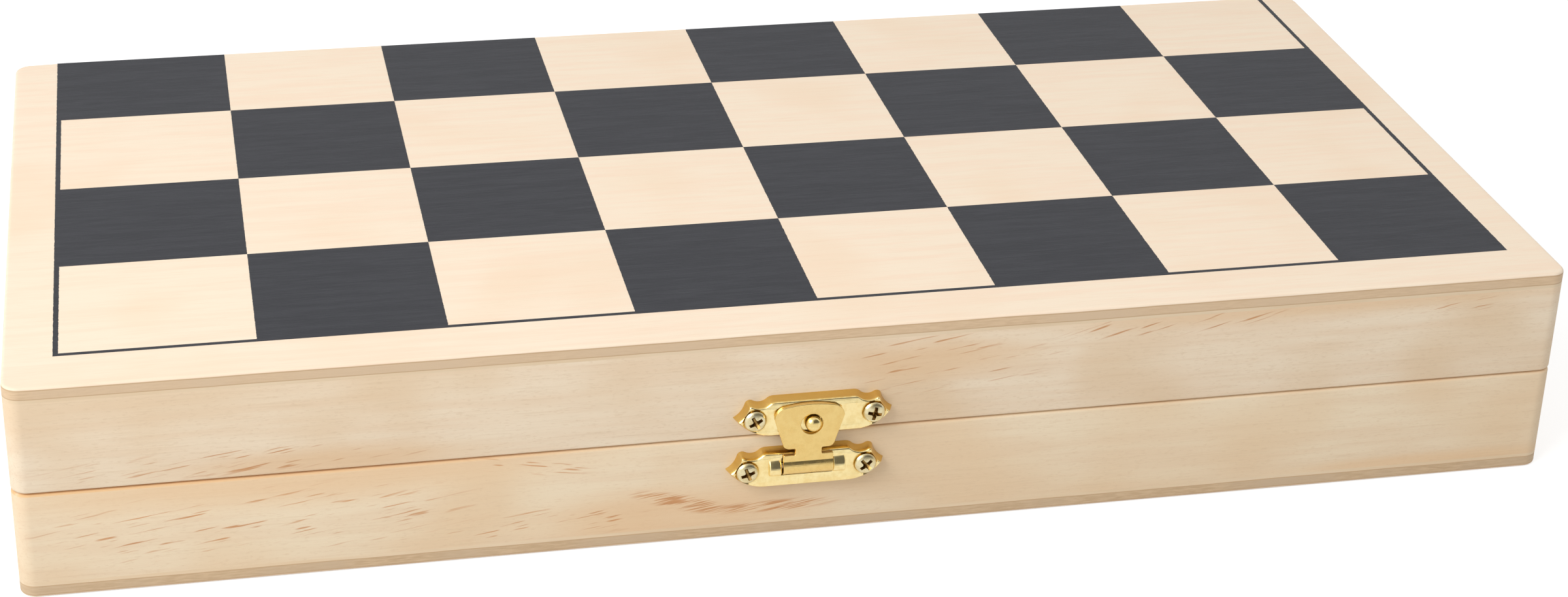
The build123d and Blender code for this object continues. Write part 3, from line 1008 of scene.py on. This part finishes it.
def ring(inset):
    """The plate's right half outline moved inwards, its joints mitred."""
    arcs = [(*circle(*points[:3]), points) for points in plate_arcs]
    joints = [Vector((0.0, inset))]
    for (_, start, sweep, points), (_, next_start, next_sweep, _) in zip(arcs, arcs[1:]):
        one = inward(start + sweep, sweep)
        other = inward(next_start, next_sweep)
        joints.append(Vector(points[2]) + (one + other) * inset / (1 + one.dot(other)))
    joints.append(Vector((0.0, TOP_END[1] - inset)))
    line = [joints[0]]
    for (centre, _, sweep, points), here, there in zip(arcs, joints, joints[1:]):
        one = here - centre
        other = there - centre
        start = math.atan2(one.y, one.x)
        swept = (math.atan2(other.y, other.x) - start) % math.tau
        if sweep < 0:
            swept -= math.tau
        steps = points[3]
        for step in range(1, steps + 1):
            share = step / steps
            radius = one.length * (1 - share) + other.length * share
            angle = start + swept * share
            line.append(centre + radius * Vector((math.cos(angle), math.sin(angle))))
    return both_sides([tuple(point) for point in line])


print("ring points", len(ring(0.0)))

# %% [markdown]
# Each plate starts as the filled outline on the wood. It is extruded ring by ring, and the new
# vertices move to the next ring. Then it is hollowed behind its face and gets a conical dish for
# each screw.
# %% Plates
SKIRT = ((0.0, 0.0), (0.36, 1.2), (0.5, 1.6), (0.6, 1.8), (0.7, 1.94), (0.8, 2.0))
PLATE_RISE = 2.0
SCREW_REACH = 11.1
SCREW_HEIGHT = 3.9
HOLE = 1.35
DISH = 2.5
DISH_DEPTH = 0.6
DISH_OVER = 0.5
DISH_SIDES = 56
HOLE_W = (-1.0, 2.5)
HOLLOW_X = 8.4
HOLLOW_V = (1.3, 6.7)
HOLLOW_W = (-1.0, 1.5)


def add_dish(x, v):
    """A conical cutter for one screw's dish, which grows on a little past the face."""
    growth = (DISH - HOLE) / DISH_DEPTH
    wide = DISH + growth * DISH_OVER
    depth = DISH_DEPTH + DISH_OVER
    place = on_front(x, v, PLATE_RISE - DISH_DEPTH + depth / 2)
    return add_cone("dish", DISH_SIDES, HOLE, wide, depth, place, (math.radians(90), 0, 0))


def pressed_plate(name, x, foot):
    rings = [[on_front(x + px, foot + py, rise) for px, py in ring(inset)] for inset, rise in SKIRT]
    plate = trace(name, rings[0])
    face_towards(plate, OUT)
    for here, there in zip(rings, rings[1:]):
        bpy.ops.mesh.extrude_region_move(TRANSFORM_OT_translate={"value": (0, 0, 0)})
        mesh = bmesh.from_edit_mesh(plate.data)
        for vertex in [vertex for vertex in mesh.verts if vertex.select]:
            gaps = [(vertex.co - point).length for point in here]
            vertex.co = there[gaps.index(min(gaps))]
        bmesh.update_edit_mesh(plate.data)
    close_side(plate)
    hollow_v = [foot + v for v in HOLLOW_V]
    cut(plate, front_block("hollow", (x - HOLLOW_X, x + HOLLOW_X), hollow_v, HOLLOW_W))
    for side in (-SCREW_REACH, SCREW_REACH):
        spot = (x + side, foot + SCREW_HEIGHT)
        cut(plate, add_dish(*spot))
        cut(plate, add_rod("hole", HOLE, *[on_front(*spot, w) for w in HOLE_W]))
    return plate


KEEPER_X = -1.9
KEEPER_FOOT = 0.25
BASE_X = -3.1
BASE_FOOT = -10.45
keeper = pressed_plate("keeper_plate_pressing", KEEPER_X, KEEPER_FOOT)
base_plate = pressed_plate("latch_base_pressing", BASE_X, BASE_FOOT)
print("plates", triangles(keeper), triangles(base_plate))

# %% [markdown]
# The lower plate also has a window for the tongue's roll, and on each side of it a strap of the
# same sheet that is pressed out over the pin. A strap is a bar with rounded ends, whose section
# climbs slowly from above and turns in quickly below.
# %% Window and straps
ROLL_V = -5.69
ROLL_HALF = 4.65
WINDOW = 4.8
WINDOW_V = (-4.02, -7.65)
WINDOW_W = (-1.0, 5.0)
STRAP = 2.35
STRAP_ROOT = 1.4
STRAP_ROUND = 0.3
STRAP_STEPS = 4
STRAP_TOP = (-4.35, 1.9)
STRAP_CREST = (-5.95, 2.93)
STRAP_LOW = (-7.6, 1.9)
strap_section = [(STRAP_TOP[0], STRAP_ROOT), STRAP_TOP]
strap_section += arc(STRAP_TOP, (-5.1, 2.55), STRAP_CREST, 8)
strap_section += arc(STRAP_CREST, (-7.0, 2.8), STRAP_LOW, 10)
strap_section += [(STRAP_LOW[0], STRAP_ROOT)]
for side in (-1, 1):
    near = BASE_X + side * WINDOW
    far = near + side * STRAP
    strap = add_bar("strap", strap_section, min(near, far), max(near, far))
    round_edges(strap, lambda edge: extent(edge).x < CLOSE, STRAP_ROUND, STRAP_STEPS)
    combine(base_plate, strap, "UNION")
cut(base_plate, front_block("window", (BASE_X - WINDOW, BASE_X + WINDOW), WINDOW_V, WINDOW_W))
dress(keeper, plate_brass, "lid", "keeper_plate")
dress(base_plate, plate_brass, "base", "latch_base_plate")

# %% [markdown]
# ## The tongue
#
# The tongue is a flat sheet with an arched head, a narrow neck and a wide foot. The foot is rolled
# round the pin, swells a little in front, and is open where the sheet's end stops short behind. The
# eye in the head springs over the stud.
# %% Tongue
TONGUE_BACK = 2.35
SHEET = 0.75
TONGUE_FACE = TONGUE_BACK + SHEET
TOP = (0.0, 7.5)
CROWN = (5.1, 6.9)
CHEEK = (6.55, 4.8)
CORNER_LOW = (4.85, -0.65)
NECK = (2.45, -1.65)
FOOT = -2.95
BEND = ((0.0, 0.2), (0.06, 0.06), (0.2, 0.0))
TONGUE_ARRIS = 0.12
TONGUE_ARRIS_STEPS = 3
FOLD = 1.0
tongue_half = [TOP]
tongue_half += arc(TOP, (2.55, 7.35), CROWN, 10)
tongue_half += arc(CROWN, (6.05, 6.05), CHEEK, 8)
tongue_half += [CORNER_LOW]
tongue_half += arc(CORNER_LOW, (4.45, -1.35), (3.65, NECK[1]), 6)
tongue_half += arc((2.75, NECK[1]), (2.54, -1.74), (NECK[0], -1.95), 4)
for x, side in ((NECK[0], 1), (ROLL_HALF, -1)):
    bend = [(x + side * along, FOOT + side * up) for along, up in BEND][::side]
    tongue_half += bend[:1] + arc(*bend, 4)
tongue_half += [(ROLL_HALF, ROLL_V), (0.0, ROLL_V)]
tongue = trace(
    "latch_tongue_sheet", [on_front(BASE_X + x, v, TONGUE_BACK) for x, v in both_sides(tongue_half)]
)
thicken(tongue, OUT, SHEET)

EYE = (-2.65, 3.3)
EYE_RADIUS = 2.05
EYE_W = (1.0, 5.0)
cut(tongue, add_rod("eye", EYE_RADIUS, *[on_front(*EYE, w) for w in EYE_W]))


def is_face_arris(edge):
    """True for a sharp edge round the tongue's outer face."""
    on_face = lies_at(edge, "y", -SIDE.y - TONGUE_FACE)
    return on_face and len(edge.link_faces) == 2 and edge.calc_face_angle(0) > FOLD


round_edges(tongue, is_face_arris, TONGUE_ARRIS, TONGUE_ARRIS_STEPS)

PIN_BORE = 0.7
SWELL_ROOT = (-4.3, 1.0)
SWELL_TOP = (-4.3, TONGUE_FACE)
SWELL_END = (-5.2, 3.47)
ROLL_BACK = (-5.65, 0.17)
ROLL_W = 1.65
SEAM_V = (ROLL_V + 0.35, ROLL_V + 3.0)
SEAM_W = (TONGUE_BACK - 0.2, TONGUE_BACK)
OVER = 1.35
roll_section = [SWELL_ROOT, SWELL_TOP]
roll_section += arc(SWELL_TOP, (-4.75, 3.33), SWELL_END, 8)
roll_section += arc(SWELL_END, (-7.33, 1.85), ROLL_BACK, 32)
roll_section += arc(ROLL_BACK, (-4.75, 0.45), SWELL_ROOT, 5)[:-1]
roll_x = (BASE_X - ROLL_HALF, BASE_X + ROLL_HALF)
past_x = (roll_x[0] - OVER, roll_x[1] + OVER)
roll = add_bar("roll", roll_section, *roll_x)
cut(roll, add_rod("bore", PIN_BORE, *[on_front(x, ROLL_V, ROLL_W) for x in past_x]))
cut(roll, front_block("seam", past_x, SEAM_V, SEAM_W))
combine(tongue, roll, "UNION")
dress(tongue, tongue_brass, "tongue", "latch_tongue")

# %% [markdown]
# ## The stud
#
# The stud is turned and then riveted through the keeper plate: a drum with a round end for the
# tongue to snap over, and a tail spread behind the sheet. A lathe makes it in one go.
# %% Stud
STUD_X = -2.4
STUD_V = 3.46
TAIL = 1.9
TAIL_W = 1.0
SHANK = 1.1
BALL = (1.55, 3.1)
stud_profile = [(0.0, TAIL_W), (TAIL, TAIL_W), (TAIL, HOLLOW_W[1]), (SHANK, HOLLOW_W[1])]
stud_profile += [(SHANK, PLATE_RISE), (BALL[0], PLATE_RISE), BALL]
stud_profile += arc(BALL, (1.15, 4.0), (0.0, 4.38), 12)
stud_points = [on_front(STUD_X + radius, STUD_V, w) for radius, w in stud_profile]
stud = lathe("keeper_stud_turned", stud_points, on_front(STUD_X, STUD_V, 0), OUT)
dress(stud, stud_brass, "lid", "keeper_stud")

# %% [markdown]
# ## Screws
#
# All the screws are small countersunk wood screws with a low crown and a cross recess. One screw is
# modelled upright on a lathe, its recess cut by two tapered blades and a small cone, and then copied
# to its places, each copy with its own turn, because no two screws stop at the same angle.
# %% Screws
UP = Vector((0, 0, 1))
SCREW_LENGTH = 8.0
SCREW_SHANK = 1.1
POINT = 0.3
POINT_LENGTH = 1.5
CROWN_BEND = (0.55, 0.75)
RECESS_DEPTH = 0.5
RECESS_OVER = 0.1
BLADE_LONG = 0.76
BLADE_THICK = 0.18
BLADE_TAPER = 0.4
HEART = (0.1, 0.46)
SUNK = 0.05
RECESS_REACH = 0.8
TURN_STEPS = 40


def wood_screw(head, crown, rim):
    """A screw with the top of its head's rim at the origin and its shank down Z."""
    cone = head - SCREW_SHANK + rim
    profile = [(0.0, -SCREW_LENGTH), (SCREW_SHANK * POINT, -SCREW_LENGTH)]
    profile += [(SCREW_SHANK, POINT_LENGTH - SCREW_LENGTH), (SCREW_SHANK, -cone), (head, -rim)]
    profile += arc((head, 0.0), (head * CROWN_BEND[0], crown * CROWN_BEND[1]), (0.0, crown), 8)
    points = [mm(radius, 0, z) for radius, z in profile]
    screw = lathe("screw", points, mm(0, 0, 0), UP, TURN_STEPS)
    deep = crown - head * RECESS_DEPTH
    top = crown + RECESS_OVER
    for across in (ACROSS, Vector((0, 1, 0))):
        along = Vector((across.y, across.x, 0))
        half = across * head * BLADE_LONG + along * head * BLADE_THICK
        blade = add_block("blade", (-half.x, half.x), (-half.y, half.y), (deep, top))
        pick(blade, "FACE", lambda face: face.normal.z < -0.5)
        bpy.ops.transform.resize(value=(BLADE_TAPER, BLADE_TAPER, 1))
        cut(screw, blade)
    middle = mm(0, 0, (top + deep) / 2)
    cut(screw, add_cone("heart", 4, head * HEART[0], head * HEART[1], top - deep, middle))
    screw.data.materials.clear()
    for finish in (screw_brass, recess_oxide_and_shade):
        screw.data.materials.append(finish)
    # Faces sunk in the cross recess take the darker recess brass, which is partly oxide and partly
    # painted shade.
    for face in screw.data.polygons:
        reach = math.hypot(face.center.x, face.center.y) / (head * MM)
        skin = crown * (1 - reach**2) * MM
        sunk = skin - face.center.z > SUNK * MM and face.center.z > deep * MM - CLOSE
        face.material_index = int(sunk and reach < RECESS_REACH)
    return screw


def place_screws(node, body, screw, places, outward):
    """Copies a screw to its places, each with its own turn, and finishes the copies as one piece."""
    tilt = UP.rotation_difference(outward).to_matrix().to_4x4()
    copies = []
    for place, degrees in places:
        copy = bpy.data.objects.new("copy", screw.data.copy())
        bpy.context.collection.objects.link(copy)
        spin = Matrix.Rotation(math.radians(degrees), 4, "Z")
        copy.data.transform(Matrix.Translation(place) @ tilt @ spin)
        copies.append(copy)
    dress(join(f"{node}_cross", copies), None, body, node)


HEAD_LEVEL = 2.35
LATCH_SCREW = {"head": 2.05, "crown": 0.5, "rim": 0.25}
latch_screw = wood_screw(**LATCH_SCREW)
for node, body, x, foot, turns in (
    ("keeper_screws", "lid", KEEPER_X, KEEPER_FOOT, (28, -12)),
    ("latch_base_screws", "base", BASE_X, BASE_FOOT, (20, 40)),
):
    v = foot + SCREW_HEIGHT
    spots = [on_front(x + side, v, HEAD_LEVEL) for side in (-SCREW_REACH, SCREW_REACH)]
    place_screws(node, body, latch_screw, zip(spots, turns), OUT)
bpy.data.objects.remove(latch_screw)

# %% [markdown]
# ## Hinges
#
# The hinge leaves keep the exact shape of their solids: a merged copy gets a fine bevel, so that
# its edges catch the light. Their screws have flatter heads, because the two leaves nearly touch
# when the box is shut.
# %% Hinges
LEAF_EDGE = 0.07
FLAT_FOLD = math.radians(0.5)
SHARP_FOLD = math.radians(50)
HINGE_SCREW = {"head": 1.6, "crown": 0.05, "rim": 0.06}
LEAF_SCREW_Y = 68.35
LEAF_SCREW_REACH = 7.0
LEAF_SCREW_TURNS = (15, 62, -24, 38)


def soft_copy(node, name):
    """A merged copy of a solid's mesh with its sharp edges bevelled."""
    copy = bpy.data.objects.new(name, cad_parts[node].data.copy())
    bpy.context.collection.objects.link(copy)
    pick(copy, "VERT")
    bpy.ops.mesh.remove_doubles(threshold=DOUBLE)
    bpy.ops.mesh.dissolve_limited(angle_limit=FLAT_FOLD)
    bevel = {"width": LEAF_EDGE * MM, "segments": 2, "limit_method": "ANGLE", "angle_limit": SHARP_FOLD}
    apply_modifier(copy, "BEVEL", **bevel)
    return copy


hinge_screw = wood_screw(**HINGE_SCREW)
spots = [x + reach for x in HINGE_X for reach in (-LEAF_SCREW_REACH, LEAF_SCREW_REACH)]
for half, level, outward, body in (
    ("lower", HALF, UP, "base"),
    ("upper", BOARD.z - HALF, -UP, "lid"),
):
    places = [(mm(x, LEAF_SCREW_Y, level), turn) for x, turn in zip(spots, LEAF_SCREW_TURNS)]
    place_screws(f"hinge_{half}_screws", body, hinge_screw, places, outward)
    for side in ("left", "right"):
        node = f"hinge_{side}_{half}_leaf"
        dress(soft_copy(node, f"{node}_brass"), hinge_brass, body, node)
bpy.data.objects.remove(hinge_screw)

# %% [markdown]
# ## Pins
#
# The pins are plain rods whose shape is right as it is, so the solids stay and get their material.
# %% Materials on the pins
for node in ("latch_pin", "hinge_left_pin", "hinge_right_pin"):
    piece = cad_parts[node]
    piece.data.materials.clear()
    piece.data.materials.append(pin_steel)
print("pins dressed")

# %% [markdown]
# ## The end
#
# The script ends in object mode.
# %% Finish
object_mode()
